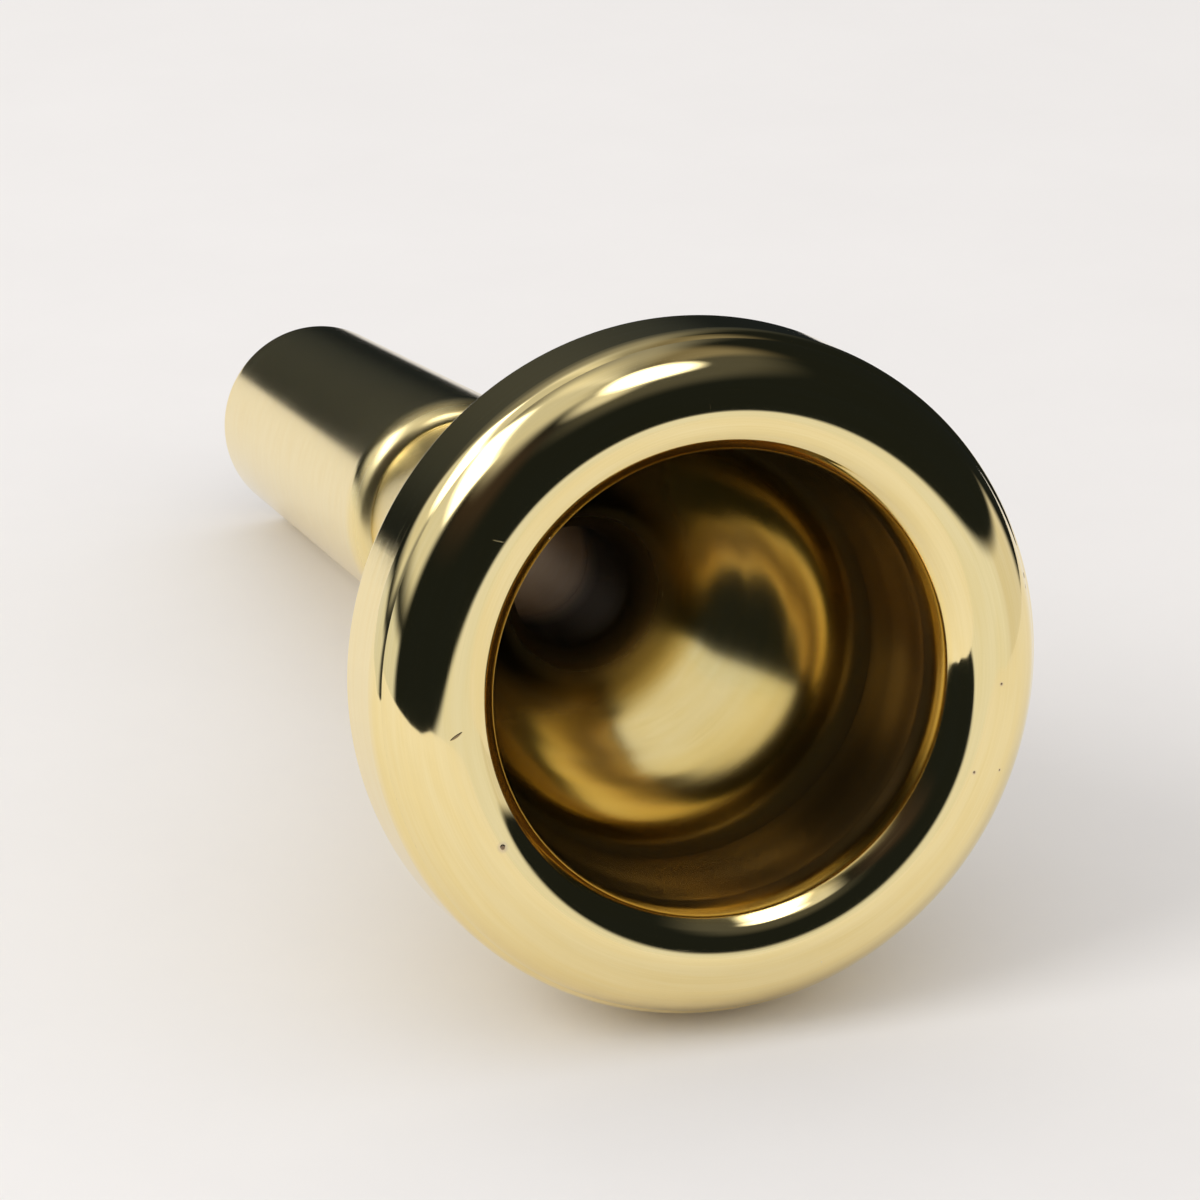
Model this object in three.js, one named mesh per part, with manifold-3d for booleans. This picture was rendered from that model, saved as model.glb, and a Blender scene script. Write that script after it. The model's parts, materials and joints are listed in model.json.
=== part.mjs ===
// Cup mouthpiece for a low brass instrument: screw rim, cup and screw shank, turned from brass and gold plated.
// Everything is turned about one bore axis. Each profile is a list of [radius, station] pairs in millimetres.
// A station is the distance behind the crown, the foremost circle of the rim, along the bore axis.
// The assembled mouthpiece then lies on its side: it rests on the back edge of the cup's side wall and on the shank's end.
import * as THREE from "three";
import { mergeVertices } from "three/addons/utils/BufferGeometryUtils.js";
import Module from "manifold-3d";

const wasm = await Module();
wasm.setup();

// ---- driving dimensions, mm ----
const SIDES = 40; // flats round each turned surface; one flat faces straight down
const TOTAL_LENGTH = 83.3; // crown to shank end

const RIM_RADIUS = 19.25; // side wall of the cup, the largest radius
const CREASE_RADIUS = 18.85; // parting line between rim and cup
const CREASE_STATION = 2.8;
const CROWN_INNER = 14.9; // narrow flat crown, between these two radii
const CROWN_OUTER = 15.4;
const BITE_RADIUS = 13.0; // inner edge of the rim
const BITE_STATION = 1.5;
const SPIGOT_END = 10.0; // the rim's spigot reaches this far into the cup
const SEAT_GAP = 0.05; // between faces that seat on each other

const RIM_PILOT_RADIUS = 15.4;
const RIM_THREAD = { root: 14.6, crest: 15.2, pitch: 1.25, from: 5.1, to: 8.85 }; // three turns
const SHANK_THREAD = { root: 4.5, crest: 5.05, pitch: 1.0, from: 36.8, to: 39.8 }; // three turns
const THREAD_CLEARANCE = 0.14;

const WALL_BACK = 8.2; // back edge of the cylindrical side wall
const NECK_RADIUS = 6.2;
const SHOULDER_FACE = 48.7; // the shank seats on the neck here
const SHANK_RADIUS = 7.2; // where the outer taper starts
const SHANK_TOP = 49.7;
const SHANK_END_RADIUS = 6.35; // 12.7 mm across at the small end
const SPIGOT_TIP = 36.0; // front end of the shank's spigot

const THROAT_RADIUS = 3.5;
const THROAT_START = 28.5;
const EXIT_RADIUS = 5.1; // backbore at the shank end

const GLAND = { inner: 16.15, outer: 17.65, depth: 0.95 }; // ring groove under the rim
const GROOVE = { bottom: 4.45, from: 43.9, to: 45.2 }; // ring groove round the shank's spigot

// ---- helpers ----
const PHI0 = Math.PI / SIDES; // puts a flat, not a corner, at the bottom

function solid(geometry) {
  const g = geometry.clone();
  g.deleteAttribute("normal");
  g.deleteAttribute("uv");
  const m = mergeVertices(g, 1e-4);
  const position = m.getAttribute("position").array;
  const used = new Uint32Array(m.index.array);
  const keep = [];
  for (let i = 0; i < used.length; i += 3) {
    const [a, b, c] = [used[i], used[i + 1], used[i + 2]];
    if (a !== b && b !== c && c !== a) keep.push(a, b, c);
  }
  return new wasm.Manifold(
    new wasm.Mesh({
      numProp: 3,
      vertProperties: new Float32Array(position),
      triVerts: new Uint32Array(keep),
    }),
  );
}

// A closed profile of [radius, station] pairs turned about the bore axis.
function turned(profile) {
  const make = (points) =>
    solid(
      new THREE.LatheGeometry(
        [...points, points[0]].map(([r, u]) => new THREE.Vector2(r, u)),
        SIDES,
        PHI0,
      ),
    );
  const made = make(profile);
  return made.volume() > 0 ? made : make([...profile].reverse());
}

// A right-handed helical ridge of trapezoid section, from radius `base` out to `crest`.
// `slack` makes the same ridge a little larger all round, to cut the matching groove, and
// `before` and `after` let that groove run on by part of a turn at either end.
function ridge({ root, crest, pitch, from, to }, slack, base, fade, before = 0, after = 0) {
  const first = -Math.round(before * SIDES);
  const steps = Math.round(((to - from) / pitch + after) * SIDES) - first;
  const rise = crest - root;
  const tipHalf = 0.1 * pitch + slack; // half width of the tooth at its crest
  const rootHalf = 0.27 * pitch + slack; // and at its root
  const points = [];
  for (let i = 0; i <= steps; i++) {
    const a = PHI0 + ((first + i) / SIDES) * 2 * Math.PI;
    const u = from + ((first + i) / SIDES) * pitch;
    const end = Math.min(i, steps - i) / (SIDES / 6);
    const height = fade ? Math.min(1, end) : 1;
    const top = root + slack + rise * height - (fade ? (1 - height) * 0.08 : 0);
    const ring = [
      [base, u - rootHalf],
      [base, u + rootHalf],
      [root + slack, u + rootHalf],
      [top, u + tipHalf],
      [top, u - tipHalf],
      [root + slack, u - rootHalf],
    ];
    // Turning with +angle about the bore axis (towards the shank) is x = r sin a, z = r cos a.
    for (const [r, v] of ring) points.push(r * Math.sin(a), v, r * Math.cos(a));
  }
  const index = [];
  const n = 6;
  for (let i = 0; i < steps; i++)
    for (let k = 0; k < n; k++) {
      const a = i * n + k,
        b = i * n + ((k + 1) % n),
        c = a + n,
        d = b + n;
      index.push(a, b, d, a, d, c);
    }
  for (const [s, flip] of [
    [0, false],
    [steps * n, true],
  ])
    for (const [p, q, r] of [
      [0, 2, 1],
      [0, 3, 2],
      [0, 4, 3],
      [0, 5, 4],
    ])
      index.push(s + p, s + (flip ? r : q), s + (flip ? q : r));
  const make = (idx) =>
    new wasm.Manifold(
      new wasm.Mesh({
        numProp: 3,
        vertProperties: new Float32Array(points),
        triVerts: new Uint32Array(idx),
      }),
    );
  let made = make(index);
  if (made.volume() < 0) {
    for (let i = 0; i < index.length; i += 3)
      [index[i + 1], index[i + 2]] = [index[i + 2], index[i + 1]];
    made = make(index);
  }
  return made;
}

function mesh(name, manifold, material) {
  const m = manifold.getMesh();
  const g = new THREE.BufferGeometry();
  const v = new Float32Array(m.numVert * 3);
  for (let i = 0; i < m.numVert; i++)
    v.set(m.vertProperties.subarray(i * m.numProp, i * m.numProp + 3), i * 3);
  g.setAttribute("position", new THREE.BufferAttribute(v, 3));
  g.setIndex(new THREE.BufferAttribute(m.triVerts, 1));
  g.computeVertexNormals();
  const made = new THREE.Mesh(g, material);
  made.name = name;
  return made;
}

// ---- shared curves ----
// Inner side of the rim, from the crown down to the bite edge and on into the bowl.
const rimInner = [
  [CROWN_INNER, 0],
  [14.3, 0.14],
  [13.75, 0.45],
  [13.35, 0.86],
  [13.1, 1.25],
  [BITE_RADIUS, BITE_STATION],
  [12.93, 1.85],
  [12.9, 2.4],
];
// Outer side of the rim: one round from the crown to the parting line.
const ROUND = 4.0;
const rimOuter = [];
for (let i = 0; i <= 7; i++) {
  const a = (i / 7) * Math.acos(1 - CREASE_STATION / ROUND);
  const full = ROUND * Math.sin(Math.acos(1 - CREASE_STATION / ROUND));
  rimOuter.push([
    CROWN_OUTER + ((CREASE_RADIUS - CROWN_OUTER) * ROUND * Math.sin(a)) / full,
    ROUND * (1 - Math.cos(a)),
  ]);
}
// The bowl below the bite, as [radius, station]; the rim's spigot carries it down to SPIGOT_END.
const bowlUpper = [
  [12.86, 4.0],
  [12.72, 6.0],
  [12.48, 8.0],
];
const BOWL_AT_JOINT = 12.1;
const bowlLower = [
  [11.55, 12.3],
  [10.75, 14.9],
  [9.65, 17.6],
  [8.35, 20.2],
  [6.85, 22.7],
  [5.4, 24.9],
  [4.3, 26.7],
  [3.7, 27.8],
];

// ---- rim ----
const rimBody = turned([
  ...rimInner,
  ...bowlUpper,
  [BOWL_AT_JOINT, SPIGOT_END],
  [RIM_THREAD.root - 0.4, SPIGOT_END],
  [RIM_THREAD.root, SPIGOT_END - 0.4],
  [RIM_THREAD.root, 4.6],
  [RIM_PILOT_RADIUS, 4.4],
  [RIM_PILOT_RADIUS, CREASE_STATION],
  [GLAND.inner, CREASE_STATION],
  [GLAND.inner, CREASE_STATION - GLAND.depth],
  [GLAND.outer, CREASE_STATION - GLAND.depth],
  [GLAND.outer, CREASE_STATION],
  ...rimOuter.slice().reverse(),
]);
const rimSolid = rimBody.add(ridge(RIM_THREAD, 0, RIM_THREAD.root - 0.3, true));

// ---- cup ----
const c = THREAD_CLEARANCE;
const cupBody = turned([
  // counterbore for the rim's spigot
  [RIM_PILOT_RADIUS + 0.2, CREASE_STATION + SEAT_GAP],
  [RIM_PILOT_RADIUS + 0.2, 4.6],
  [RIM_THREAD.root + c, 4.8],
  [RIM_THREAD.root + c, SPIGOT_END + SEAT_GAP],
  [BOWL_AT_JOINT - 0.01, SPIGOT_END + SEAT_GAP],
  ...bowlLower,
  [THROAT_RADIUS, THROAT_START],
  [THROAT_RADIUS, 31.5],
  [THROAT_RADIUS + 0.04, SPIGOT_TIP - SEAT_GAP],
  // socket for the shank's spigot
  [SHANK_THREAD.root + c, SPIGOT_TIP - SEAT_GAP],
  [SHANK_THREAD.root + c, 40.3],
  [SHANK_THREAD.crest + c, 40.7],
  [SHANK_THREAD.crest + c, SHOULDER_FACE - SEAT_GAP],
  // neck and outside of the bowl
  [NECK_RADIUS, SHOULDER_FACE - SEAT_GAP],
  [NECK_RADIUS + 0.03, 46.4],
  [6.45, 43.6],
  [6.95, 40.6],
  [7.7, 37.4],
  [8.7, 34.0],
  [9.9, 30.6],
  [11.2, 27.2],
  [12.5, 23.8],
  [13.75, 20.4],
  [14.95, 17.0],
  [16.15, 13.8],
  [17.3, 11.3],
  [18.35, 9.6],
  [18.95, 8.8],
  [RIM_RADIUS, WALL_BACK],
  [RIM_RADIUS, 3.95],
  [19.2, 3.6],
  [19.08, 3.2],
  [CREASE_RADIUS, CREASE_STATION + SEAT_GAP],
]);
const cupSolid = cupBody
  .subtract(ridge(RIM_THREAD, c, RIM_THREAD.root - 0.3, false, 0.5, 1 / 6))
  .subtract(ridge(SHANK_THREAD, c, SHANK_THREAD.root - 0.3, false, 1 / 6, 1));

// ---- shank ----
const bore = (u) =>
  THROAT_RADIUS + 0.04 +
  (EXIT_RADIUS - THROAT_RADIUS - 0.04) *
    Math.pow((u - SPIGOT_TIP) / (TOTAL_LENGTH - SPIGOT_TIP), 1.25);
const shankBody = turned([
  ...[SPIGOT_TIP, 42, 48, 54, 60, 66, 72, 78, TOTAL_LENGTH].map((u) => [
    bore(u),
    u,
  ]),
  [SHANK_END_RADIUS - 0.3, TOTAL_LENGTH],
  [SHANK_END_RADIUS - 0.09, TOTAL_LENGTH - 0.09],
  [SHANK_END_RADIUS, TOTAL_LENGTH - 0.3],
  [SHANK_RADIUS, SHANK_TOP],
  [SHANK_RADIUS - 0.12, SHANK_TOP - 0.45],
  [SHANK_RADIUS - 0.45, SHANK_TOP - 0.83],
  [NECK_RADIUS + 0.1, SHOULDER_FACE],
  [SHANK_THREAD.crest, SHOULDER_FACE],
  [SHANK_THREAD.crest, GROOVE.to],
  [GROOVE.bottom, GROOVE.to],
  [GROOVE.bottom, GROOVE.from],
  [SHANK_THREAD.crest, GROOVE.from],
  [SHANK_THREAD.crest, 41.1],
  [SHANK_THREAD.root, 40.7],
  [SHANK_THREAD.root, SPIGOT_TIP + 0.3],
  [SHANK_THREAD.root - 0.3, SPIGOT_TIP],
]);
const shankSolid = shankBody.add(
  ridge(SHANK_THREAD, 0, SHANK_THREAD.root - 0.3, true),
);

// ---- seals ----
// Ring of round section squashed a little between the faces that it seals.
function ring(r0, r1, u0, u1) {
  const points = [];
  for (let i = 0; i < 8; i++) {
    const a = ((i + 0.5) / 8) * 2 * Math.PI;
    const s = (v) => Math.sign(v) * Math.pow(Math.abs(v), 0.8);
    points.push([
      (r0 + r1) / 2 + ((r1 - r0) / 2) * s(Math.cos(a)),
      (u0 + u1) / 2 + ((u1 - u0) / 2) * s(Math.sin(a)),
    ]);
  }
  return turned(points);
}
const rimSeal = ring(
  GLAND.inner + 0.08,
  GLAND.outer - 0.12,
  CREASE_STATION - GLAND.depth + SEAT_GAP,
  CREASE_STATION + SEAT_GAP - 0.04,
);
const shankSeal = ring(
  GROOVE.bottom + 0.05,
  SHANK_THREAD.crest + c - 0.05,
  GROOVE.from + 0.1,
  GROOVE.to - 0.1,
);

// ---- assembly ----
const gold = new THREE.MeshStandardMaterial({ color: 0xe6c36a, roughness: 0.12, metalness: 1 });
const rubber = new THREE.MeshStandardMaterial({ color: 0x1c1c1e, roughness: 0.7, metalness: 0 });

const mouthpiece = new THREE.Group();
mouthpiece.name = "mouthpiece";
mouthpiece.add(
  mesh("rim", rimSolid, gold),
  mesh("rim_seal", rimSeal, rubber),
  mesh("cup", cupSolid, gold),
  mesh("shank_seal", shankSeal, rubber),
  mesh("shank", shankSolid, gold),
);

// Lay it down: the bore axis runs along +Y towards the shank and dips, so that the
// back edge of the side wall and the edge of the shank's end both touch the ground.
const flat = Math.cos(Math.PI / SIDES);
const dip = Math.atan(
  ((RIM_RADIUS - SHANK_END_RADIUS) * flat) / (TOTAL_LENGTH - 0.3 - WALL_BACK),
);
mouthpiece.rotation.x = -dip;
mouthpiece.updateMatrixWorld(true);
const box = new THREE.Box3().setFromObject(mouthpiece, true);
mouthpiece.position.set(
  -(box.min.x + box.max.x) / 2,
  -(box.min.y + box.max.y) / 2,
  -box.min.z,
);

export default mouthpiece;
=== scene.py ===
"""Looks for the gold-plated cup mouthpiece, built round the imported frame. Metres, +Z up."""

import json
import math

import bpy
import numpy as np
from mathutils import Matrix, Vector


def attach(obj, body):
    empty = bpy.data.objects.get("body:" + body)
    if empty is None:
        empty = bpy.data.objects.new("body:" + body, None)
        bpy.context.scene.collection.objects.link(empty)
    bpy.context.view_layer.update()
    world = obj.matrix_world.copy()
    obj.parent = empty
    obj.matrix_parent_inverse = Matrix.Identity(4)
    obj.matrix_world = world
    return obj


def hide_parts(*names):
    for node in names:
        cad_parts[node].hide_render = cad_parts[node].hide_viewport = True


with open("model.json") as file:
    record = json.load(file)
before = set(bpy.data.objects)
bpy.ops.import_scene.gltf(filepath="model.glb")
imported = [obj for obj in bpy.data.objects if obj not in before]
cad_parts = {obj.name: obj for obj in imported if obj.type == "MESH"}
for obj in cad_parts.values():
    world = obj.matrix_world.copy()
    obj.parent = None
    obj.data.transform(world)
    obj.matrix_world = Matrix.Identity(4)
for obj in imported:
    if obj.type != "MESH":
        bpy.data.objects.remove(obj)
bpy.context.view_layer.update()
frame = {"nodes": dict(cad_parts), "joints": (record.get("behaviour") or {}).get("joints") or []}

MM = 0.001

# ---------------------------------------------------------------- the bore axis, from the frame's own joints
joint = {j["name"]: j for j in frame["joints"]}
CROWN = Vector(joint["rim_turn"]["pos_m"])  # where the axis meets the crown plane
AXIS = -Vector(joint["rim_turn"]["axis"]).normalized()  # towards the shank
SIDE = Vector((1.0, 0.0, 0.0))
UP = SIDE.cross(AXIS).normalized()  # across the axis, mostly upwards
FLATS = math.cos(math.pi / 40) * 0.9999  # the smooth surfaces lie inside the frame's 40 flats


def place(x, u, z):
    """Local millimetres (across, along the bore from the crown, up) to the row frame in metres."""
    return CROWN + (SIDE * x + AXIS * u + UP * z) * MM


# ---------------------------------------------------------------- profiles, [radius, station] in mm
def spline(points, per_mm=5.0, ends=(None, None)):
    """A smooth curve through the points (centripetal Catmull-Rom), sampled finely. ends are tangents."""
    p = [np.array(q, float) for q in points]
    a = p[0] - (np.array(ends[0], float) if ends[0] else p[1] - p[0])
    b = p[-1] + (np.array(ends[1], float) if ends[1] else p[-1] - p[-2])
    q = [a] + p + [b]
    out = []
    for i in range(1, len(q) - 2):
        p0, p1, p2, p3 = q[i - 1], q[i], q[i + 1], q[i + 2]
        d = [max(1e-6, np.linalg.norm(s) ** 0.5) for s in (p1 - p0, p2 - p1, p3 - p2)]
        t0, t1 = 0.0, d[0]
        t2 = t1 + d[1]
        t3 = t2 + d[2]
        n = max(3, int(math.ceil(np.linalg.norm(p2 - p1) * per_mm)))
        for k in range(n):
            t = t1 + (t2 - t1) * k / n
            a1 = (t1 - t) / (t1 - t0) * p0 + (t - t0) / (t1 - t0) * p1
            a2 = (t2 - t) / (t2 - t1) * p1 + (t - t1) / (t2 - t1) * p2
            a3 = (t3 - t) / (t3 - t2) * p2 + (t - t2) / (t3 - t2) * p3
            b1 = (t2 - t) / (t2 - t0) * a1 + (t - t0) / (t2 - t0) * a2
            b2 = (t3 - t) / (t3 - t1) * a2 + (t - t1) / (t3 - t1) * a3
            out.append((t2 - t) / (t2 - t1) * b1 + (t - t1) / (t2 - t1) * b2)
    out.append(p[-1])
    return [tuple(float(v) for v in s) for s in out]


def line(a, b, longest=0.35, finest=0.03):
    """Points from a to b, close together near both ends."""
    a, b = np.array(a, float), np.array(b, float)
    length = np.linalg.norm(b - a)
    half, step, s = [0.0], finest, 0.0
    while s + step < length / 2:
        s += step
        half.append(s)
        step = min(longest, step * 1.6)
    at = half + [length - h for h in reversed(half)]
    keep = [at[0]]
    for v in at[1:]:
        if v - keep[-1] > finest * 0.5:
            keep.append(v)
    keep[-1] = length
    return [tuple(float(v) for v in a + (b - a) * (t / length)) for t in keep]


def corners(points, radii):
    """A polyline with its corners rounded: radii[i] is the round at points[i], 0 keeps it as it is."""
    out = []
    n = len(points)
    p = [np.array(q, float) for q in points]
    for i in range(n):
        r = radii[i]
        if r <= 0 or i == 0 or i == n - 1:
            out.append(p[i])
            continue
        u, v = p[i - 1] - p[i], p[i + 1] - p[i]
        lu, lv = np.linalg.norm(u), np.linalg.norm(v)
        u, v = u / lu, v / lv
        ang = math.acos(max(-1, min(1, float(u @ v))))
        cut = min(r / math.tan(ang / 2), 0.45 * lu, 0.45 * lv)
        rr = cut * math.tan(ang / 2)
        mid = (u + v) / np.linalg.norm(u + v)
        c = p[i] + mid * (rr / math.sin(ang / 2))
        s, e = p[i] + u * cut, p[i] + v * cut
        s0, e0 = s - c, e - c
        turn = math.acos(max(-1, min(1, float(s0 @ e0) / (rr * rr))))
        steps = max(3, int(math.ceil(math.degrees(turn) / 12)))
        for k in range(steps + 1):
            w = k / steps
            out.append(c + (math.sin((1 - w) * turn) * s0 + math.sin(w * turn) * e0) / math.sin(turn))
    return [tuple(float(v) for v in q) for q in out]


def densify(points):
    """Extra rings beside each hard bend, so that the smooth shading stays close to it."""
    n = len(points)

    def bent(i, limit):
        if i == 0 or i == n - 1:
            return True
        (r0, u0), (r1, u1), (r2, u2) = points[i - 1], points[i], points[i + 1]
        d = math.atan2(u2 - u1, r2 - r1) - math.atan2(u1 - u0, r1 - r0)
        return abs((math.degrees(d) + 180) % 360 - 180) > limit

    out = [points[0]]
    for i in range(n - 1):
        a, b = points[i], points[i + 1]
        length = math.dist(a, b)
        stops = []
        if length > 0.3:
            limit = 0.8 if length > 1.1 else 5
            if bent(i, limit):
                stops += [0.03, 0.11]
            if bent(i + 1, limit):
                stops += [length - 0.11, length - 0.03]
        for k in stops:
            out.append((a[0] + (b[0] - a[0]) * k / length, a[1] + (b[1] - a[1]) * k / length))
        if length > 1e-5:
            out.append(b)
    return out


CREASE = (18.85, 2.8)
BITE = (13.0, 1.5)
JOINT_R, SPIGOT_END = 11.957, 10.0

# face of the rim, from the parting line over the crown to the bite and down the bowl
ROUND = 4.0
CROWN_R = 15.15
amax = math.acos(1 - CREASE[1] / ROUND)
rim_outer = []
for i in range(61):
    a = amax * (1 - i / 60)
    rim_outer.append(
        (
            CROWN_R + (CREASE[0] - CROWN_R) * math.sin(a) / math.sin(amax),
            ROUND * (1 - math.cos(a)),
        )
    )
rim_inner = spline(
    [(CROWN_R, 0), (14.3, 0.13), (13.75, 0.45), (13.5, 0.68), (13.3, 0.88), (13.18, 1.01)],
    per_mm=18,
    ends=((-0.4, 0.0), (-0.2, 0.22)),
)
bite_round = spline(
    [(13.18, 1.01), (13.09, 1.13), (13.03, 1.28), (12.99, 1.5), (12.95, 1.85), (12.9, 2.4), (12.86, 4.0)],
    per_mm=20,
    ends=((-0.12, 0.13), (-0.02, 1.0)),
)
BOWL = [
    (12.86, 4.0),
    (12.64, 6.0),
    (12.304, 8.0),
    (JOINT_R, SPIGOT_END),
    (11.685, 11.9),
    (11.56, 12.5),
    (10.991, 14.9),
    (9.799, 17.6),
    (8.291, 20.2),
    (6.668, 22.7),
    (5.275, 24.9),
    (4.091, 26.7),
    (3.58, 27.9),
    (3.5, 29.0),
    (3.5, 31.5),
    (3.54, 35.95),
]

THREAD_RIM = dict(root=14.6, crest=15.2, pitch=1.25, start=5.1, stop=8.85)
THREAD_SHANK = dict(root=4.5, crest=5.05, pitch=1.0, start=36.8, stop=39.8)


def zone(r0, u0, r1, u1, step=0.1):
    """Closely spaced points for a threaded stretch."""
    n = max(2, int(round(abs(u1 - u0) / step)))
    return [(r0 + (r1 - r0) * i / n, u0 + (u1 - u0) * i / n) for i in range(n + 1)]


bowl_curve = spline(BOWL, per_mm=3.4, ends=((-0.1, 1.0), (0.02, 1.5)))
joint_at = min(range(len(bowl_curve)), key=lambda i: abs(bowl_curve[i][1] - SPIGOT_END))
bowl_upper = bowl_curve[: joint_at + 1]
bowl_lower = [(bowl_curve[joint_at][0] - 0.01, SPIGOT_END + 0.02)] + bowl_curve[joint_at + 1 :]
rim_profile = densify(
    rim_outer
    + rim_inner[1:]
    + bite_round[1:]
    + bowl_upper[1:]
    + corners(
        [(JOINT_R, SPIGOT_END), (14.25, SPIGOT_END), (14.6, 9.65), (14.6, 9.4)],
        [0, 0.05, 0.05, 0],
    )[1:]
    + zone(14.6, 9.4, 14.6, 4.75)[1:]
    + corners(
        [
            (14.6, 4.75),
            (14.6, 4.62),
            (15.4, 4.4),
            (15.4, 2.8),
            (16.15, 2.8),
            (16.15, 1.85),
            (17.65, 1.85),
            (17.65, 2.8),
            (18.85, 2.8),
        ],
        [0, 0.05, 0.08, 0.05, 0.06, 0.08, 0.08, 0.06, 0],
    )[1:-1]
    + [(18.80, 2.8), (18.83, 2.797)]
)

wall_front = spline(
    [(18.85, 2.805), (18.97, 2.99), (19.08, 3.2), (19.2, 3.6), (19.25, 4.05)],
    per_mm=22,
    ends=((0.13, 0.2), (0.0, 0.35)),
)
wall_back = corners([(19.25, 4.05), (19.25, 8.2), (18.9, 8.85)], [0, 0.35, 0])
back_slope = spline(
    [
        (18.9, 8.85),
        (18.3, 9.7),
        (17.3, 11.3),
        (16.15, 13.8),
        (14.95, 17.0),
        (13.75, 20.4),
        (12.5, 23.8),
        (11.2, 27.2),
        (9.9, 30.6),
        (8.7, 34.0),
        (7.7, 37.4),
        (6.95, 40.6),
        (6.45, 43.6),
        (6.23, 46.4),
        (6.2, 48.3),
    ],
    per_mm=1.5,
    ends=((-0.4, 0.75), (-0.01, 1.5)),
)
cup_profile = densify(
    bowl_lower
    + corners(
        [(3.54, 35.95), (4.64, 35.95), (4.64, 36.1)],
        [0, 0.04, 0],
    )[1:]
    + zone(4.64, 36.1, 4.64, 40.3)[1:]
    + zone(4.64, 40.3, 5.19, 40.7, step=0.04)[1:]
    + corners(
        [(5.19, 40.7), (5.19, 48.65), (6.2, 48.65), (6.2, 48.3)],
        [0, 0.05, 0.06, 0],
    )[1:]
    + back_slope[::-1][1:]
    + wall_back[::-1][1:]
    + wall_front[::-1][1:]
    + corners([(18.85, 2.805), (15.6, 2.85), (15.6, 4.6)], [0, 0.06, 0])[1:]
    + zone(15.6, 4.6, 14.74, 4.8, step=0.02)[1:]
    + zone(14.74, 4.8, 14.74, 9.7)[1:]
    + corners([(14.74, 9.7), (14.74, 10.05), (JOINT_R + 0.01, 10.05)], [0, 0.05, 0])[1:]
)


def backbore(u):
    return 3.54 + 1.56 * max(0.0, (u - 36.0) / 47.3) ** 1.25


shank_profile = densify(
    [(backbore(u), u) for u in np.linspace(36.0, 82.95, 48)]
    + corners(
        [(backbore(82.95), 82.95), (5.1, 83.3), (6.05, 83.3), (6.26, 83.21), (6.35, 83.0), (6.36, 82.6)],
        [0, 0.12, 0.1, 0.1, 0.1, 0],
    )[1:]
    + line((6.36, 82.6), (7.165, 51.2), longest=1.4)[1:]
    + spline(
        [(7.165, 51.2), (7.15, 50.6), (7.06, 50.0), (6.88, 49.45), (6.62, 49.03), (6.35, 48.8), (6.2, 48.72)],
        per_mm=14,
        ends=((0.0, -0.5), (-0.2, -0.05)),
    )[1:]
    + corners([(6.2, 48.72), (5.05, 48.7), (5.05, 48.4)], [0, 0.06, 0])[1:]
    + corners(
        [
            (5.05, 48.4),
            (5.05, 45.2),
            (4.45, 45.2),
            (4.45, 43.9),
            (5.05, 43.9),
            (5.05, 41.1),
            (4.5, 40.7),
            (4.5, 40.4),
        ],
        [0, 0.05, 0.08, 0.08, 0.05, 0.08, 0.05, 0],
    )[1:]
    + zone(4.5, 40.4, 4.5, 36.4)[1:]
    + corners([(4.5, 36.4), (4.5, 36.3), (4.2, 36.0), (3.54, 36.0)], [0, 0.05, 0.05, 0])[1:-1]
)


def thread(t, slack=0.0, before=0.0, after=0.0, fade=True):
    """Height of a right-hand thread over its root, at (angle turned, station)."""

    def height(phi, u):
        a = phi / (2 * math.pi)
        low = t["start"] - before * t["pitch"]
        high = t["stop"] + after * t["pitch"]
        k = (u - t["start"]) / t["pitch"] - a
        off = abs(k - round(k)) * t["pitch"]
        tip, foot = 0.1 * t["pitch"] + slack, 0.27 * t["pitch"] + slack
        h = max(0.0, min(1.0, (foot - off) / (foot - tip)))
        h = h * h * (3 - 2 * h)
        turn = round(k)  # which turn of the ridge this is
        along = turn + a  # turns from the start of the ridge
        total = (t["stop"] - t["start"]) / t["pitch"]
        if fade:
            e = min(along, total - along) * 6
            h *= max(0.0, min(1.0, e))
        elif not (-before <= along <= total + after):
            h = 0.0
        return h * (t["crest"] - t["root"])

    return height


# ---------------------------------------------------------------- meshes
# colour of the plate and how dull it is, down the bowl and the bore: station, colour, roughness. The colours are
# painted shade and painted reflection: dark in shade and where the walls mirror the dark room, pale where they
# mirror the bright floor.
BORE_PAINTED_SHADE_AND_ROUGHNESS = [
    (1.3, (1.000, 0.790, 0.330), 0.240),
    (1.7, (0.940, 0.700, 0.260), 0.200),
    (2.4, (0.860, 0.600, 0.210), 0.140),
    (3.4, (0.540, 0.355, 0.125), 0.140),
    (4.8, (0.270, 0.172, 0.060), 0.170),
    (8.0, (0.160, 0.100, 0.034), 0.210),
    (10.2, (0.270, 0.182, 0.064), 0.200),
    (11.8, (0.460, 0.335, 0.125), 0.190),
    (13.3, (0.760, 0.585, 0.270), 0.150),
    (15.3, (0.900, 0.750, 0.390), 0.120),
    (18.0, (0.930, 0.815, 0.480), 0.110),
    (19.8, (0.915, 0.845, 0.610), 0.110),
    (23.2, (0.915, 0.840, 0.600), 0.110),
    (24.0, (0.770, 0.645, 0.340), 0.120),
    (24.8, (0.530, 0.420, 0.170), 0.150),
    (26.0, (0.280, 0.195, 0.082), 0.280),
    (27.2, (0.200, 0.143, 0.068), 0.480),
    (28.5, (0.130, 0.096, 0.056), 0.540),
    (33.5, (0.085, 0.064, 0.048), 0.540),
    (35.0, (0.170, 0.135, 0.110), 0.500),
    (37.0, (0.470, 0.385, 0.320), 0.500),
    (46.0, (0.490, 0.395, 0.300), 0.460),
    (55.0, (0.500, 0.390, 0.260), 0.420),
    (80.0, (0.640, 0.500, 0.280), 0.300),
    (83.2, (0.900, 0.745, 0.390), 0.150),
]
BORE_LINE = [(13.02, 1.42), (12.93, 1.9), (12.9, 2.4)] + bowl_curve


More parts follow.
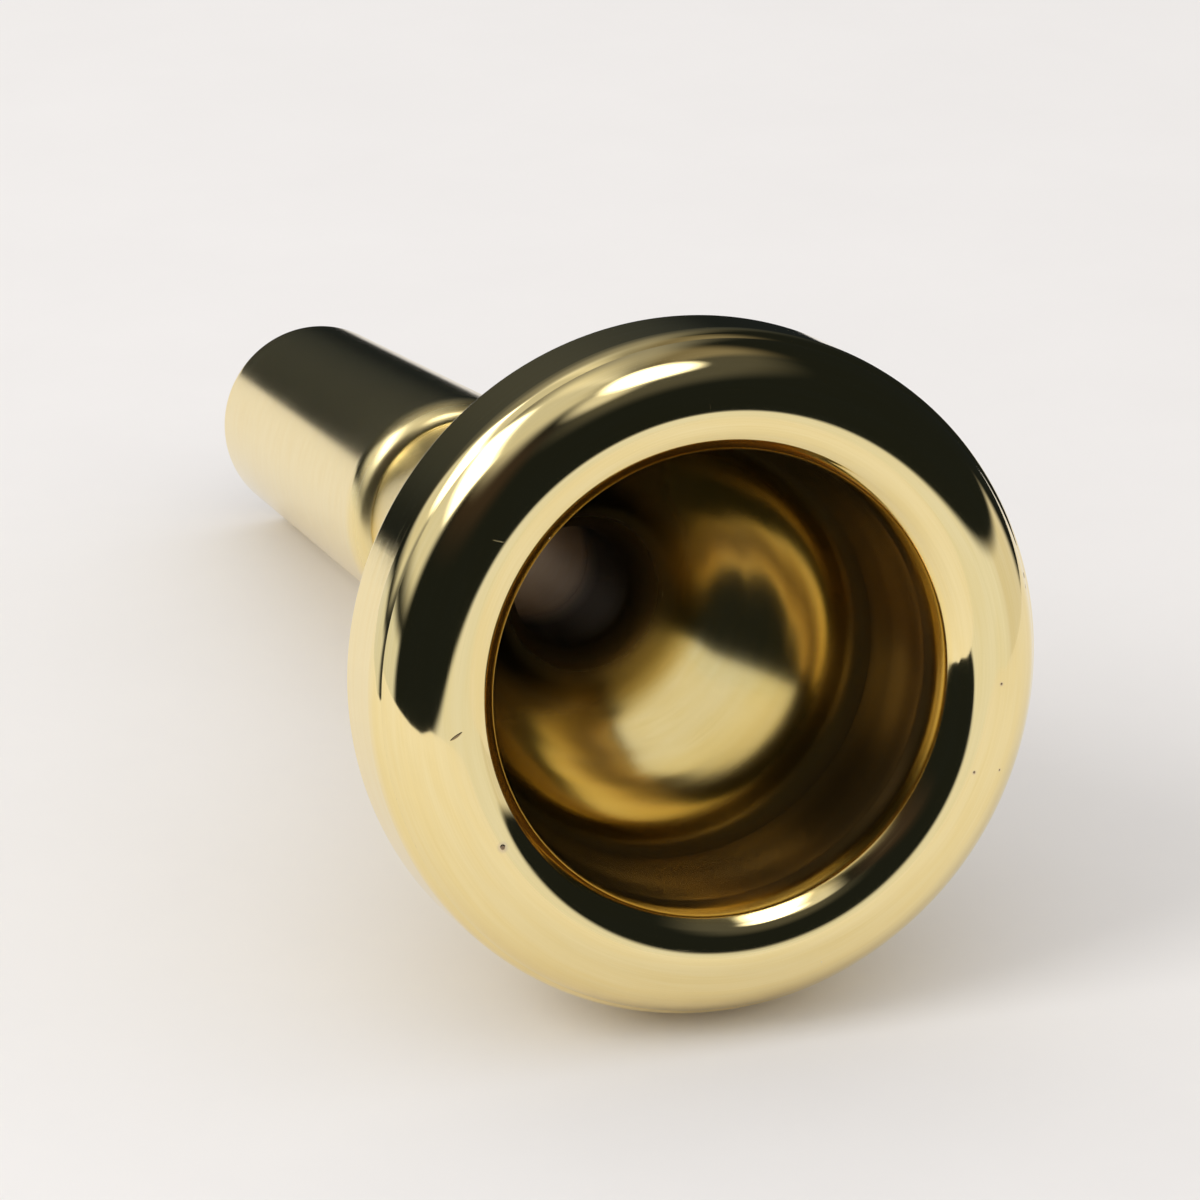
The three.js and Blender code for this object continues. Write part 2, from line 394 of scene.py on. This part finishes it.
def finish_and_painted_shade_of(r, u, node):
    """Colour and roughness of the plate at one point of a profile; in the bowl and bore the colour is painted shade
    and painted reflection, and at the bite a painted warm tint.
    """
    inner = float(np.interp(u, [q[1] for q in BORE_LINE], [q[0] for q in BORE_LINE])) if u < 36 else backbore(u)
    # inside the bowl and bore: painted shade and painted reflection from the station table
    if u > 1.36 and r <= inner + 0.06:
        at = [t[0] for t in BORE_PAINTED_SHADE_AND_ROUGHNESS]
        return [float(np.interp(u, at, [t[1][k] for t in BORE_PAINTED_SHADE_AND_ROUGHNESS])) for k in range(3)] + [
            float(np.interp(u, at, [t[2] for t in BORE_PAINTED_SHADE_AND_ROUGHNESS]))
        ]
    colour, rough = (0.95, 0.80, 0.43), 0.055
    if node == "rim" and r < 13.4 and u < 1.4:  # the bite: duller, with a painted warm tint for the orange reflection along it
        k = (13.4 - r) / 0.36
        colour = (0.95 + 0.05 * k, 0.80 - 0.01 * k, 0.43 - 0.10 * k)
        rough = 0.055 + 0.185 * max(0.0, min(1.0, k)) ** 2
    elif node == "rim" and u > 2.85 or node == "cup" and (r < 15.7 and (u < 10.2 or u > 35.9 and r < 5.3)):
        colour, rough = (0.90, 0.74, 0.40), 0.17  # threads, glands and seats are left as turned
    elif node == "shank" and r < 5.3 and u < 48.9:
        colour, rough = (0.90, 0.74, 0.40), 0.17
    elif node == "cup" and u > 9.0:
        rough = float(np.interp(u, [9.0, 12.0, 30.0, 40.0, 48.6], [0.055, 0.09, 0.12, 0.2, 0.28]))
    elif node == "shank":
        rough = float(np.interp(u, [49.4, 50.6, 60.0, 83.0], [0.30, 0.16, 0.12, 0.12]))
    return [*colour, rough]


def turned(name, profile, body, node, sides=240, spans=(), sharp_deg=33.0):
    """A closed profile turned about the bore axis. spans are (low, high, radius, height) stretches with a thread."""
    n, m = sides, len(profile)
    r = np.array([p[0] for p in profile])
    u = np.array([p[1] for p in profile])
    phi = np.arange(n) * 2 * math.pi / n
    rr = np.repeat(r[:, None], n, 1)
    for low, high, radius, height in spans:
        # a groove also runs out through the lead-in beside it
        for i in np.nonzero((u >= low) & (u <= high) & (r > radius - 0.02) & (r < radius + 0.9))[0]:
            rr[i] = np.maximum(rr[i], [radius + height(a, u[i]) for a in phi])
    rr = rr * FLATS
    x = rr * np.sin(phi)[None]
    z = rr * np.cos(phi)[None]
    uu = np.repeat(u[:, None], n, 1)
    o, s, a, w = (np.array(v) for v in (CROWN, SIDE, AXIS, UP))
    co = o + MM * (x[..., None] * s + uu[..., None] * a + z[..., None] * w)
    co = co.reshape(-1, 3)
    i, j = np.meshgrid(np.arange(m), np.arange(n), indexing="ij")
    i2, j2 = (i + 1) % m, (j + 1) % n
    quads = np.stack([i * n + j, i * n + j2, i2 * n + j2, i2 * n + j], -1).reshape(-1, 4)
    # outwards: the profile's area tells which way round it runs
    area = 0.5 * np.sum(r * np.roll(u, -1) - np.roll(r, -1) * u)
    if area > 0:
        quads = quads[:, ::-1]
    me = bpy.data.meshes.new(name)
    me.from_pydata(co.tolist(), [], quads.tolist())
    # distance along the profile, for the lathe marks
    step = np.hypot(np.diff(r, append=r[:1]), np.diff(u, append=u[:1]))
    run = np.concatenate([[0.0], np.cumsum(step)[:-1]])
    lathe = np.stack(
        [
            np.repeat(np.sin(phi)[None], m, 0),
            np.repeat(np.cos(phi)[None], m, 0),
            np.repeat(run[:, None], n, 1),
        ],
        -1,
    ).reshape(-1, 3)
    at = me.attributes.new("lathe", "FLOAT_VECTOR", "POINT")
    at.data.foreach_set("vector", lathe.astype(np.float32).ravel())
    where = np.stack([rr, uu, np.repeat(phi[None], m, 0)], -1).reshape(-1, 3)
    at = me.attributes.new("turn", "FLOAT_VECTOR", "POINT")
    at.data.foreach_set("vector", where.astype(np.float32).ravel())
    # the plate's colour per ring, with painted shade and painted reflection in the bowl and bore, and its dullness
    tone_and_shade = np.array([finish_and_painted_shade_of(p, q, node) for p, q in profile])
    at = me.attributes.new("tone_and_shade", "FLOAT_VECTOR", "POINT")
    at.data.foreach_set("vector", np.repeat(tone_and_shade[:, None, :3], n, 1).astype(np.float32).ravel())
    at = me.attributes.new("dull", "FLOAT", "POINT")
    at.data.foreach_set("value", np.repeat(tone_and_shade[:, 3], n).astype(np.float32))
    me.polygons.foreach_set("use_smooth", [True] * len(me.polygons))
    # rings where the profile turns hard stay crisp
    t = np.stack([np.roll(r, -1) - r, np.roll(u, -1) - u], -1)
    ang = np.degrees(np.arctan2(t[:, 1], t[:, 0]))
    bend = np.abs((ang - np.roll(ang, 1) + 180) % 360 - 180)
    hard = set(np.nonzero(bend > sharp_deg)[0].tolist())
    if hard:
        ev = np.zeros(len(me.edges) * 2, np.int32)
        me.edges.foreach_get("vertices", ev)
        ring = ev.reshape(-1, 2) // n
        mark = [bool(p == q and p in hard) for p, q in ring.tolist()]
        me.attributes.new("sharp_edge", "BOOLEAN", "EDGE").data.foreach_set("value", mark)
    me.update()
    ob = bpy.data.objects.new(name, me)
    bpy.context.scene.collection.objects.link(ob)
    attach(ob, body)
    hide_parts(node)
    return ob


def seal_profile(r0, r1, u0, u1, n=28):
    out = []
    for i in range(n):
        a = (i / n) * 2 * math.pi
        s = lambda v: math.copysign(abs(v) ** 0.8, v)
        out.append(
            ((r0 + r1) / 2 + (r1 - r0) / 2 * s(math.cos(a)), (u0 + u1) / 2 + (u1 - u0) / 2 * s(math.sin(a)))
        )
    return out


rim = turned(
    "contact_rim",
    rim_profile,
    "rim",
    "rim",
    sides=280,
    spans=[(4.75, 9.4, 14.6, thread(THREAD_RIM))],
)
cup = turned(
    "cup_bowl",
    cup_profile,
    "cup",
    "cup",
    spans=[
        (4.55, 9.75, 14.74, thread(THREAD_RIM, slack=0.14, before=0.5, after=1 / 6, fade=False)),
        (36.05, 40.75, 4.64, thread(THREAD_SHANK, slack=0.14, before=1 / 6, after=1, fade=False)),
    ],
)
shank = turned(
    "taper_shank",
    shank_profile,
    "shank",
    "shank",
    sides=256,
    spans=[(36.4, 40.4, 4.5, thread(THREAD_SHANK))],
)
rim_seal = turned("rim_o_ring", seal_profile(16.23, 17.53, 1.90, 2.79), "rim_seal", "rim_seal", sides=256)
shank_seal = turned("shank_o_ring", seal_profile(4.50, 5.14, 44.0, 45.1), "shank_seal", "shank_seal", sides=192)


# ---------------------------------------------------------------- node helpers
class Nodes:
    def __init__(self, tree):
        self.t = tree
        tree.nodes.clear()

    def new(self, kind, **props):
        n = self.t.nodes.new(kind)
        for k, v in props.items():
            setattr(n, k, v)
        return n

    def feed(self, socket, value):
        if isinstance(value, bpy.types.NodeSocket):
            self.t.links.new(value, socket)
        elif value is not None:
            socket.default_value = value

    def math(self, op, a, b=None, c=None, clamp=False):
        n = self.new("ShaderNodeMath", operation=op, use_clamp=clamp)
        self.feed(n.inputs[0], a)
        if b is not None:
            self.feed(n.inputs[1], b)
        if c is not None:
            self.feed(n.inputs[2], c)
        return n.outputs[0]

    def vmath(self, op, a, b=None, scale=None):
        n = self.new("ShaderNodeVectorMath", operation=op)
        self.feed(n.inputs[0], a)
        if b is not None:
            self.feed(n.inputs[1], b)
        if scale is not None:
            self.feed(n.inputs["Scale"], scale)
        return n.outputs["Value"] if op in ("DOT_PRODUCT", "LENGTH", "DISTANCE") else n.outputs[0]

    def smooth(self, x, low, high, to_low=0.0, to_high=1.0):
        n = self.new("ShaderNodeMapRange", interpolation_type="SMOOTHSTEP", clamp=True)
        self.feed(n.inputs["Value"], x)
        self.feed(n.inputs["From Min"], low)
        self.feed(n.inputs["From Max"], high)
        self.feed(n.inputs["To Min"], to_low)
        self.feed(n.inputs["To Max"], to_high)
        return n.outputs[0]

    def linear(self, x, low, high, to_low=0.0, to_high=1.0):
        n = self.new("ShaderNodeMapRange", interpolation_type="LINEAR", clamp=True)
        self.feed(n.inputs["Value"], x)
        self.feed(n.inputs["From Min"], low)
        self.feed(n.inputs["From Max"], high)
        self.feed(n.inputs["To Min"], to_low)
        self.feed(n.inputs["To Max"], to_high)
        return n.outputs[0]

    def mix(self, f, a, b, blend="MIX"):
        n = self.new("ShaderNodeMix", data_type="RGBA", blend_type=blend)
        self.feed(n.inputs[0], f)
        self.feed(n.inputs[6], a)
        self.feed(n.inputs[7], b)
        return n.outputs[2]

    def noise(self, vector, scale, detail=2.0, rough=0.5, dims="3D"):
        n = self.new("ShaderNodeTexNoise", noise_dimensions=dims)
        self.feed(n.inputs["Vector"], vector)
        n.inputs["Scale"].default_value = scale
        n.inputs["Detail"].default_value = detail
        n.inputs["Roughness"].default_value = rough
        return n.outputs["Fac"]


# ---------------------------------------------------------------- materials
def run_at(profile, r, u):
    """Distance along a profile, in mm, of its point nearest to (r, u)."""
    best, run, total = 1e9, 0.0, 0.0
    for i, q in enumerate(profile):
        if i:
            total += math.dist(profile[i - 1], q)
        d = math.dist((r, u), q)
        if d < best:
            best, run = d, total
    return run


# small wear marks: kind, angle round the axis in degrees, radius, station, half length, half width, lean
RIM_WEAR = [
    ("dash", -92.5, 15.59, 0.03, 0.42, 0.085, 60.0),
    ("pit", -118.2, 15.12, 0.0, 0.17, 0.16, 0.0),
    ("dash", 78.7, 18.64, 2.25, 0.22, 0.16, 60.0),
    ("dash", 80.4, 18.5, 1.95, 0.16, 0.05, 20.0),
    ("pit", 96.4, 16.0, 0.1, 0.07, 0.07, 0.0),
    ("pit", 113.3, 17.07, 0.52, 0.06, 0.06, 0.0),
    ("pit", 115.1, 15.47, 0.02, 0.075, 0.07, 0.0),
    ("scratch", -52.2, 15.86, 0.06, 0.30, 0.014, 70.0),
]


def gold(name, profile, wear=(), dust=0.0):
    """Gold plate: turned lines round the axis, faint clouding, small wear, its tone and dullness from the mesh; down
    the bowl and bore that tone is painted shade and painted reflection.
    """
    mat = bpy.data.materials.new(name)
    mat.use_nodes = True
    g = Nodes(mat.node_tree)
    out = g.new("ShaderNodeOutputMaterial")
    bsdf = g.new("ShaderNodeBsdfPrincipled")
    g.t.links.new(bsdf.outputs[0], out.inputs[0])
    lathe = g.new("ShaderNodeAttribute", attribute_name="lathe").outputs["Vector"]
    turn = g.new("ShaderNodeAttribute", attribute_name="turn").outputs["Vector"]
    # plate colour, with painted shade and painted reflection down the bowl and bore
    tone_and_shade = g.new("ShaderNodeAttribute", attribute_name="tone_and_shade").outputs["Color"]
    dull = g.new("ShaderNodeAttribute", attribute_name="dull").outputs["Fac"]
    split = g.new("ShaderNodeSeparateXYZ")
    g.t.links.new(turn, split.inputs[0])
    radius, station, phi = split.outputs
    split = g.new("ShaderNodeSeparateXYZ")
    g.t.links.new(lathe, split.inputs[0])
    run = split.outputs[2]
    coord = g.new("ShaderNodeTexCoord").outputs["Object"]
    # polish lines: long round the axis, fine along the profile
    fine = g.noise(g.vmath("MULTIPLY", lathe, (1.3, 1.3, 13.0)), 1.0, 4.0, 0.65)
    broad = g.noise(g.vmath("MULTIPLY", lathe, (2.2, 2.2, 1.6)), 1.0, 2.0, 0.5)
    hair = g.noise(g.vmath("MULTIPLY", lathe, (3.0, 3.0, 30.0)), 1.0, 2.0, 0.5)
    hair = g.smooth(hair, 0.66, 0.72)
    patch = g.smooth(g.noise(coord, 160.0, 2.0, 0.5), 0.5, 0.62)
    hair = g.math("MULTIPLY", g.math("MULTIPLY", hair, patch), 0.5)
    cloud = g.noise(coord, 90.0, 3.0, 0.55)
    smear = g.noise(coord, 420.0, 2.0, 0.5)
    # marks
    dark = tarnish = groove = None

    def add(a, b):
        return b if a is None else g.math("MAXIMUM", a, b)

    for kind, deg, r0, u0, length, width, lean in wear:
        s0, c, s = run_at(profile, r0, u0), math.cos(math.radians(lean)), math.sin(math.radians(lean))
        a = g.math("SUBTRACT", phi, math.radians(deg) % (2 * math.pi))
        a = g.math("MULTIPLY", g.math("WRAP", a, math.pi, -math.pi), r0)
        b = g.math("SUBTRACT", run, s0)
        along = g.math("ADD", g.math("MULTIPLY", a, c), g.math("MULTIPLY", b, s))
        across = g.math("SUBTRACT", g.math("MULTIPLY", b, c), g.math("MULTIPLY", a, s))
        wave = g.math("MULTIPLY", g.math("SUBTRACT", smear, 0.5), 0.9 * width)
        across = g.math("ADD", across, wave)
        d = g.math(
            "SQRT",
            g.math(
                "ADD",
                g.math("POWER", g.math("DIVIDE", g.math("ABSOLUTE", along), length), 2.0),
                g.math("POWER", g.math("DIVIDE", g.math("ABSOLUTE", across), width), 2.0),
            ),
        )
        core = g.smooth(d, 0.55, 1.05, 1.0, 0.0)
        groove = add(groove, core)
        if kind != "scratch":
            dark = add(dark, core)
        if kind == "pit":
            tarnish = add(tarnish, g.smooth(d, 1.0, 2.4, 0.35, 0.0))
    # roughness
    r = g.math("MULTIPLY_ADD", g.math("SUBTRACT", fine, 0.5), 0.06, dull)
    r = g.math("MULTIPLY_ADD", g.math("SUBTRACT", cloud, 0.5), 0.05, r)
    r = g.math("MULTIPLY_ADD", g.math("SUBTRACT", smear, 0.5), 0.02, r)
    r = g.math("MULTIPLY_ADD", hair, 0.10, r)
    if groove is not None:
        r = g.math("MULTIPLY_ADD", groove, 0.35, r)
    # colour
    col = g.mix(g.smooth(broad, 0.3, 0.75), tone_and_shade, g.mix(1.0, tone_and_shade, (0.985, 0.962, 0.885, 1), "MULTIPLY"))
    line = g.linear(fine, 0.30, 0.70, 0.0, 1.0)
    col = g.mix(line, g.mix(1.0, col, (0.955, 0.945, 0.90, 1), "MULTIPLY"), col)
    if tarnish is not None:
        col = g.mix(tarnish, col, (0.42, 0.34, 0.34, 1))
    if dark is not None:
        col = g.mix(g.math("MULTIPLY", dark, 0.7), col, (0.20, 0.105, 0.070, 1))
    # where the tone is dark brown with painted shade, down the bowl and bore, part of the light is scattered
    # diffusely
    part = g.new("ShaderNodeSeparateColor")
    g.t.links.new(tone_and_shade, part.inputs[0])
    metal = g.smooth(part.outputs[2], 0.07, 0.24, 0.90, 1.0)
    if dust:
        v = g.new("ShaderNodeTexVoronoi", feature="F1", distance="EUCLIDEAN")
        g.feed(v.inputs["Vector"], coord)
        v.inputs["Scale"].default_value = 850.0
        v.inputs["Randomness"].default_value = 1.0
        pick = g.new("ShaderNodeSeparateColor")
        g.t.links.new(v.outputs["Color"], pick.inputs[0])
        size = g.smooth(pick.outputs[0], 1.0 - dust, 1.0, 0.0, 0.085)
        speck = g.math("LESS_THAN", v.outputs["Distance"], size)
        speck = g.math("MULTIPLY", speck, g.math("GREATER_THAN", pick.outputs[0], 1.0 - dust))
        speck = g.math("MULTIPLY", speck, g.math("LESS_THAN", dull, 0.09))
        col = g.mix(speck, col, (0.78, 0.76, 0.72, 1))
        r = g.math("MULTIPLY_ADD", speck, 0.6, r)
        metal = g.math("MULTIPLY", metal, g.math("SUBTRACT", 1.0, speck))
    g.feed(bsdf.inputs["Metallic"], metal)
    g.feed(bsdf.inputs["Base Color"], col)
    g.feed(bsdf.inputs["Roughness"], g.math("MINIMUM", g.math("MAXIMUM", r, 0.02), 0.9))
    # relief
    h = g.math("ADD", g.math("MULTIPLY", fine, 0.00055), g.math("MULTIPLY", broad, 0.0010))
    h = g.math("MULTIPLY_ADD", hair, 0.0004, h)
    if groove is not None:
        h = g.math("MULTIPLY_ADD", groove, -0.020, h)
    bump = g.new("ShaderNodeBump")
    bump.inputs["Strength"].default_value = 1.0
    bump.inputs["Distance"].default_value = 0.001
    g.feed(bump.inputs["Height"], h)
    g.t.links.new(bump.outputs[0], bsdf.inputs["Normal"])
    return mat


def rubber(name):
    mat = bpy.data.materials.new(name)
    mat.use_nodes = True
    g = Nodes(mat.node_tree)
    out = g.new("ShaderNodeOutputMaterial")
    bsdf = g.new("ShaderNodeBsdfPrincipled")
    g.t.links.new(bsdf.outputs[0], out.inputs[0])
    coord = g.new("ShaderNodeTexCoord").outputs["Object"]
    n = g.noise(coord, 1800.0, 4.0, 0.6)
    dust = g.noise(coord, 500.0, 3.0, 0.7)
    g.feed(bsdf.inputs["Base Color"], g.mix(g.smooth(dust, 0.5, 0.8), (0.012, 0.012, 0.013, 1), (0.05, 0.048, 0.045, 1)))
    g.feed(bsdf.inputs["Roughness"], g.linear(n, 0.2, 0.8, 0.5, 0.72))
    bump = g.new("ShaderNodeBump")
    bump.inputs["Strength"].default_value = 0.35
    bump.inputs["Distance"].default_value = 0.00004
    g.feed(bump.inputs["Height"], n)
    g.t.links.new(bump.outputs[0], bsdf.inputs["Normal"])
    return mat


rim_plate = gold("gold_plate_rim", rim_profile, RIM_WEAR, dust=0.03)
cup_plate = gold("gold_plate_cup", cup_profile, (), dust=0.06)
shank_plate = gold("gold_plate_shank", shank_profile, (), dust=0.03)
seal = rubber("seal_rubber")
rim.data.materials.append(rim_plate)
cup.data.materials.append(cup_plate)
shank.data.materials.append(shank_plate)
for o in (rim_seal, shank_seal):
    o.data.materials.append(seal)
for o in frame["nodes"].values():  # hidden, but never left with a bare material
    o.data.materials.clear()
    o.data.materials.append(seal if "seal" in o.name else rim_plate)

# ---------------------------------------------------------------- stage: pale floor
def floor_mesh(name, outline, inner=None):
    """A flat sheet at z = 0 from a closed outline, with a hole if inner is given (same number of points)."""
    me = bpy.data.meshes.new(name)
    if inner is None:
        me.from_pydata([(x, y, 0) for x, y in outline], [], [list(range(len(outline)))])
    else:
        n = len(outline)
        v = [(x, y, 0) for x, y in inner] + [(x, y, 0) for x, y in outline]
        f = [(i, (i + 1) % n, n + (i + 1) % n, n + i) for i in range(n)]
        me.from_pydata(v, [], f)
    me.update()
    ob = bpy.data.objects.new(name, me)
    bpy.context.scene.collection.objects.link(ob)
    return ob


floor_mat = bpy.data.materials.new("pale_floor")
floor_mat.use_nodes = True
g = Nodes(floor_mat.node_tree)
out = g.new("ShaderNodeOutputMaterial")
bsdf = g.new("ShaderNodeBsdfPrincipled")
g.t.links.new(bsdf.outputs[0], out.inputs[0])
bsdf.inputs["Roughness"].default_value = 0.95
bsdf.inputs["Specular IOR Level"].default_value = 0.0
coord = g.new("ShaderNodeTexCoord").outputs["Object"]
n = g.noise(coord, 60.0, 4.0, 0.6)
g.feed(bsdf.inputs["Base Color"], g.mix(n, (0.852, 0.836, 0.828, 1), (0.892, 0.876, 0.868, 1)))

ring = [(math.sin(2 * math.pi * i / 128), math.cos(2 * math.pi * i / 128)) for i in range(128)]


reach = []  # the sheet that the plating can see, wider in front than behind
for x, y in ring:
    turned_from = math.degrees(math.atan2(x, -y))  # 0 = -Y, + towards +X
    if turned_from < -125:
        reach.append(float(np.interp(-turned_from, [125, 150, 160, 172, 180], [0.12, 0.16, 0.42, 0.50, 0.50])))
        continue
    if turned_from > 172:
        reach.append(float(np.interp(turned_from, [172, 180], [0.097, 0.50])))
        continue
    reach.append(float(np.interp(abs(turned_from), [0, 33, 44, 57, 90, 125, 160, 180], [0.22, 0.20, 0.153, 0.142, 0.13, 0.12, 0.10, 0.095])))
near_edge = [(k * x, k * y) for k, (x, y) in zip(reach, ring)]
near = floor_mesh("floor_near", near_edge)
far = floor_mesh("floor_far", [(6.0 * x, 6.0 * y) for x, y in ring], near_edge)
near.data.materials.append(floor_mat)
far.data.materials.append(floor_mat)
far.visible_glossy = False

# ---------------------------------------------------------------- studio light
world = bpy.data.worlds.new("studio")
bpy.context.scene.world = world
world.use_nodes = True
world.cycles.sampling_method = "NONE"
w = Nodes(world.node_tree)
wout = w.new("ShaderNodeOutputWorld")
direction = w.new("ShaderNodeTexCoord").outputs["Generated"]
sep = w.new("ShaderNodeSeparateXYZ")
w.t.links.new(direction, sep.inputs[0])
X, Y, Z = sep.outputs
DEG = 180 / math.pi
az = w.math("MULTIPLY", w.math("ARCTAN2", X, w.math("MULTIPLY", Y, -1.0)), DEG)
el = w.math("MULTIPLY", w.math("ARCSINE", w.math("MINIMUM", w.math("MAXIMUM", Z, -1.0), 1.0)), DEG)


def turn_from(centre):
    """Azimuth from a centre, wrapped to -180..180."""
    return w.math("WRAP", w.math("SUBTRACT", az, centre), 180.0, -180.0)


def panel(az0, az1, el0, el1, soft_az=4.0, soft_el=4.0):
    """A soft-edged panel between two azimuths and two elevations."""
    mid, half = (az0 + az1) / 2, (az1 - az0) / 2
    d = w.math("ABSOLUTE", turn_from(mid))
    a = w.smooth(d, half - soft_az, half + soft_az, 1.0, 0.0)
    e = w.smooth(el, el0 - soft_el, el0 + soft_el)
    f = w.smooth(el, el1 - soft_el, el1 + soft_el, 1.0, 0.0)
    return w.math("MULTIPLY", a, w.math("MULTIPLY", e, f))


def disc(azc, elc, inner, outer):
    """A round soft light: full inside `inner` degrees, gone at `outer`."""
    a, e = math.radians(azc), math.radians(elc)
    c = (math.sin(a) * math.cos(e), -math.cos(a) * math.cos(e), math.sin(e))
    dot = w.vmath("DOT_PRODUCT", direction, c)
    ang = w.math("MULTIPLY", w.math("ARCCOSINE", w.math("MINIMUM", dot, 1.0)), DEG)
    return w.smooth(ang, inner, outer, 1.0, 0.0)


room = (0.012, 0.0145, 0.0145, 1)
def back_card():
    """The low white card at the back left: its top edge falls away towards the back."""
    d = w.math("ABSOLUTE", turn_from(-135.0))
    a = w.smooth(d, 31.0, 41.0, 1.0, 0.0)
    top = w.linear(turn_from(-180.0), 19.0, 45.0, -6.0, 3.4)
    return w.math("MULTIPLY", a, w.smooth(w.math("SUBTRACT", el, top), -3.0, 3.2, 1.0, 0.0))


def front_card():
    """The low white card in front: its top edge falls away towards the left."""
    a = w.smooth(az, 53.0, 67.0, 1.0, 0.0)
    a = w.math("MULTIPLY", a, w.smooth(az, -44.0, -40.0))
    top = w.math("ADD", w.linear(az, -40.0, -6.0, -10.0, 1.0), w.linear(az, -6.0, 10.0, 0.0, 2.5))
    top = w.smooth(w.math("SUBTRACT", el, top), -2.0, 2.0, 1.0, 0.0)
    return w.math("MULTIPLY", w.math("MULTIPLY", a, top), w.smooth(el, -34.0, -30.0))


lights = [
    # mask, colour, strength
    (panel(-151, -99, 12, 52, 7, 7), (1.0, 0.99, 0.96), 0.72),  # window, back left
    (panel(-147.5, -101, 34.5, 50.5, 4.2, 4.5), (0.98, 0.99, 1.0), 3.4),  # its brightest pane
    (panel(-175, -80, 50, 84, 22, 9), (1.0, 0.98, 0.94), 0.64),  # glow above it
    (panel(-94, -42, 34, 62, 13, 11), (1.0, 0.52, 0.33), 0.030),  # wood beside it
    (disc(60, 84, 6.5, 14.5), (1.0, 0.985, 0.96), 3.8),  # ceiling light
    (disc(-25, 77, 4, 14), (1.0, 0.97, 0.92), 0.72),  # its shade
    (panel(-30, 150, 55, 80, 25, 8), (1.0, 0.96, 0.88), 0.075),  # ceiling
    (panel(118, 160, 52, 78, 12, 8), (1.0, 0.84, 0.60), 0.16),  # warm corner
    (panel(158, 206, 26, 80, 10, 24), (1.0, 0.97, 0.92), 0.32),  # wall behind
    (panel(150, 200, 1, 20, 8, 4), (0.95, 1.0, 0.92), 0.026),  # its foot
    (front_card(), (0.98, 0.98, 1.0), 0.83),  # low white card, front
    (panel(60, 112, -32, 3.5, 7, 2.0), (1.0, 0.96, 0.91), 0.73),  # low white card, right
    (back_card(), (0.97, 0.98, 1.0), 0.76),  # low white card, back left
]
total = w.mix(1.0, room, (0, 0, 0, 1), "ADD")
for mask, colour, strength in lights:
    c = w.mix(1.0, (colour[0] * strength, colour[1] * strength, colour[2] * strength, 1), w.mix(mask, (0, 0, 0, 1), (1, 1, 1, 1)), "MULTIPLY")
    total = w.mix(1.0, total, c, "ADD")

path = w.new("ShaderNodeLightPath")
bg_camera = w.new("ShaderNodeBackground")
bg_camera.inputs[0].default_value = (0.82, 0.795, 0.785, 1)
bg_soft = w.new("ShaderNodeBackground")
bg_soft.inputs[0].default_value = (1.0, 0.985, 0.975, 1)
bg_soft.inputs[1].default_value = 0.845
bg_glossy = w.new("ShaderNodeBackground")
w.feed(bg_glossy.inputs[0], total)
m1 = w.new("ShaderNodeMixShader")
w.feed(m1.inputs[0], path.outputs["Is Glossy Ray"])
w.t.links.new(bg_soft.outputs[0], m1.inputs[1])
w.t.links.new(bg_glossy.outputs[0], m1.inputs[2])
m2 = w.new("ShaderNodeMixShader")
w.feed(m2.inputs[0], path.outputs["Is Camera Ray"])
w.t.links.new(m1.outputs[0], m2.inputs[1])
w.t.links.new(bg_camera.outputs[0], m2.inputs[2])
w.t.links.new(m2.outputs[0], wout.inputs[0])


def softbox(name, place_at, look_at, size, power, colour=(1, 1, 1)):
    data = bpy.data.lights.new(name, "AREA")
    data.shape = "RECTANGLE"
    data.size, data.size_y = size
    data.energy = power
    data.color = colour
    ob = bpy.data.objects.new(name, data)
    bpy.context.scene.collection.objects.link(ob)
    ob.location = place_at
    ob.rotation_mode = "QUATERNION"
    ob.rotation_quaternion = (Vector(look_at) - Vector(place_at)).to_track_quat("-Z", "Y")
    ob.visible_glossy = False
    ob.visible_camera = False
    return ob


softbox("key", (-0.60, -0.15, 0.50), (0, 0, 0.01), (0.42, 0.42), 2.0, (1.0, 0.985, 0.96))

# ---------------------------------------------------------------- camera
camera = bpy.data.objects.new("camera", bpy.data.cameras.new("camera"))
bpy.context.scene.collection.objects.link(camera)
camera.data.sensor_width = 36.0
camera.data.lens = 195.0
camera.data.clip_start, camera.data.clip_end = 0.01, 50.0
camera.location = (-0.108212, -0.345382, 0.159247)
pitch, yaw = math.radians(22.4484), math.radians(18.2875)
forward = Vector((math.sin(yaw) * math.cos(pitch), math.cos(yaw) * math.cos(pitch), -math.sin(pitch)))
camera.rotation_mode = "QUATERNION"
camera.rotation_quaternion = forward.to_track_quat("-Z", "Y")
bpy.context.scene.camera = camera

bpy.context.scene.view_settings.view_transform = "Standard"
bpy.context.scene.view_settings.look = "None"
bpy.context.scene.view_settings.exposure = 0.0
bpy.context.scene.view_settings.gamma = 1.0
